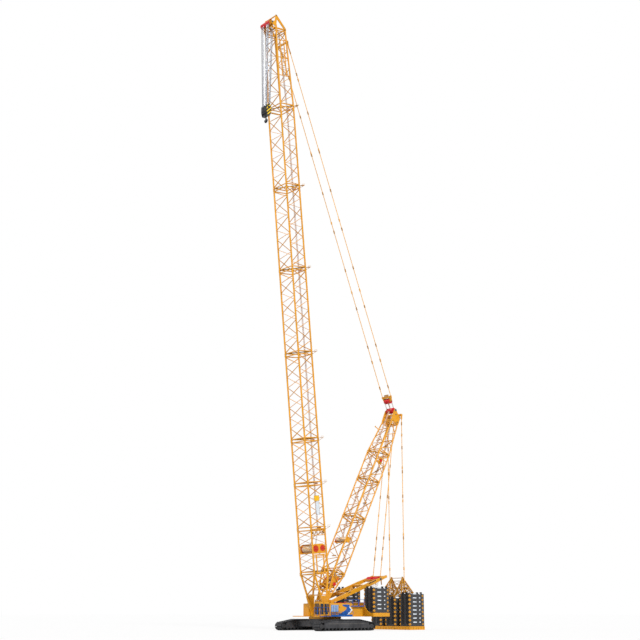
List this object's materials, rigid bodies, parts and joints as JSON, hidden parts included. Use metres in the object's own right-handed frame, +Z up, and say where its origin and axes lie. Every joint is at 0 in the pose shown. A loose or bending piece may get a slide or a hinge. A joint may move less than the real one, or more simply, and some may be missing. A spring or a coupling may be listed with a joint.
{
  "type": "crawler crane, 1:10 scale model",
  "caption": "Crawler crane with a lattice main boom, a derrick mast, a hanging ballast tray, a gantry and a sliding-door cab; lifts with a double hook.",
  "frame": {"origin": "middle of the outer box, on the ground under the crawlers", "axes": "+X ahead along the crawlers, +Y to the left where the cab is, +Z up"},
  "size_m": [2.5842, 0.948, 8.6888],
  "materials": {
    "yellow_paint": "gloss",
    "red_paint": "gloss",
    "blue_paint": "gloss",
    "track_steel": "matte",
    "ballast_grey": "matte",
    "black_paint": "satin",
    "pendant_steel": "satin",
    "seat_cloth": "matte"
  },
  "bodies": {
    "undercarriage": {"track_left": "track_steel", "track_right": "track_steel", "crawler_frame_left": "track_steel", "crawler_frame_right": "track_steel", "carbody": "yellow_paint", "slewing_ring": "track_steel"},
    "upperstructure": {"turntable_frame": "yellow_paint", "gantry_rope_sheaves": "red_paint", "deck_winches": "red_paint", "house_left": "yellow_paint", "house_right": "yellow_paint", "oil_tank": "yellow_paint", "walkways": "blue_paint", "ballast_left": "ballast_grey", "ballast_right": "ballast_grey", "cab_floor": "yellow_paint", "cab_roof": "yellow_paint", "cab_wall_left": "yellow_paint", "cab_wall_right": "yellow_paint", "cab_front": "yellow_paint", "cab_rear": "yellow_paint", "cab_seat": "seat_cloth"},
    "door": {"cab_door": "yellow_paint"},
    "boom": {"boom_foot": "yellow_paint", "boom_base": "yellow_paint", "boom_winch": "yellow_paint", "boom_insert_1": "yellow_paint", "boom_insert_2": "yellow_paint", "boom_insert_3": "yellow_paint", "boom_insert_4": "yellow_paint", "boom_insert_5": "yellow_paint", "boom_insert_6": "yellow_paint", "boom_head": "yellow_paint", "boom_head_frame": "yellow_paint", "pendant_beam": "yellow_paint"},
    "boom_sheaves": {"head_sheaves": "red_paint"},
    "block": {"hook_block": "black_paint", "hook_sheaves": "red_paint"},
    "hook": {"ramshorn_hook": "black_paint"},
    "pendants": {"boom_pendants": "pendant_steel", "luffing_yoke": "yellow_paint", "luffing_sheaves": "red_paint"},
    "mast": {"mast_foot": "yellow_paint", "mast_base": "yellow_paint", "mast_insert": "yellow_paint", "mast_upper": "yellow_paint", "mast_head_lattice": "yellow_paint", "mast_head": "yellow_paint", "mast_head_sheaves": "red_paint", "mast_winches": "yellow_paint"},
    "stays": {"mast_stays": "pendant_steel"},
    "tray": {"tray_pendants": "pendant_steel", "tray_base": "yellow_paint", "tray_stack_left": "ballast_grey", "tray_stack_middle": "ballast_grey", "tray_stack_right": "ballast_grey", "tray_trestles": "yellow_paint"},
    "gantry_body": {"gantry": "yellow_paint", "gantry_sheaves": "red_paint"}
  },
  "joints": [
    {"name": "slew", "type": "hinge", "parent": "undercarriage", "child": "upperstructure", "pos_m": [0.17133, 0, 0.165], "axis": [0, 0, 1], "continuous": true},
    {"name": "cab_door_slide", "type": "slide", "parent": "upperstructure", "child": "door", "axis": [-1, 0, 0], "range_m": [0, 0.074]},
    {"name": "boom_luff", "type": "hinge", "parent": "upperstructure", "child": "boom", "pos_m": [0.27132, 0, 0.205], "axis": [0, -1, 0], "range_deg": [-69.52, 1]},
    {"name": "head_sheave_turn", "type": "hinge", "parent": "boom", "child": "boom_sheaves", "pos_m": [1.24719, 0, 8.55497], "axis": [0, -1, 0], "range_deg": [-1.2, 69.72]},
    {"name": "hoist", "type": "slide", "parent": "boom_sheaves", "child": "block", "axis": [0, 0, 1], "range_m": [-6.8, 0.95]},
    {"name": "hook_swivel", "type": "hinge", "parent": "block", "child": "hook", "pos_m": [1.24719, 0, 7.114], "axis": [0, 0, 1], "continuous": true},
    {"name": "pendant_swing", "type": "hinge", "parent": "boom", "child": "pendants", "pos_m": [0.94207, 0, 8.32506], "axis": [0, -1, 0], "range_deg": [-3.6, 0.05]},
    {"name": "mast_luff", "type": "hinge", "parent": "upperstructure", "child": "mast", "pos_m": [0.22132, 0, 0.38], "axis": [0, 1, 0], "range_deg": [0, 3]},
    {"name": "stay_swing", "type": "hinge", "parent": "mast", "child": "stays", "pos_m": [-1.08371, 0, 3.03695], "axis": [0, 1, 0], "range_deg": [-0.032, 0]},
    {"name": "tray_swing", "type": "hinge", "parent": "mast", "child": "tray", "pos_m": [-1.15069, 0, 3.0032], "axis": [0, 1, 0], "range_deg": [-3.05, 0.05]},
    {"name": "gantry_luff", "type": "hinge", "parent": "upperstructure", "child": "gantry_body", "pos_m": [0.18132, 0, 0.372], "axis": [0, 1, 0], "range_deg": [0, 3.17]}
  ],
  "couplings": [
    {"joint": "head_sheave_turn", "follows": "boom_luff", "ratio": -1},
    {"joint": "pendant_swing", "follows": "boom_luff", "ratio": 0.051622},
    {"joint": "stay_swing", "follows": "mast_luff", "ratio": -0.010418},
    {"joint": "tray_swing", "follows": "mast_luff", "ratio": -1},
    {"joint": "gantry_luff", "follows": "mast_luff", "ratio": 1.0456}
  ]
}
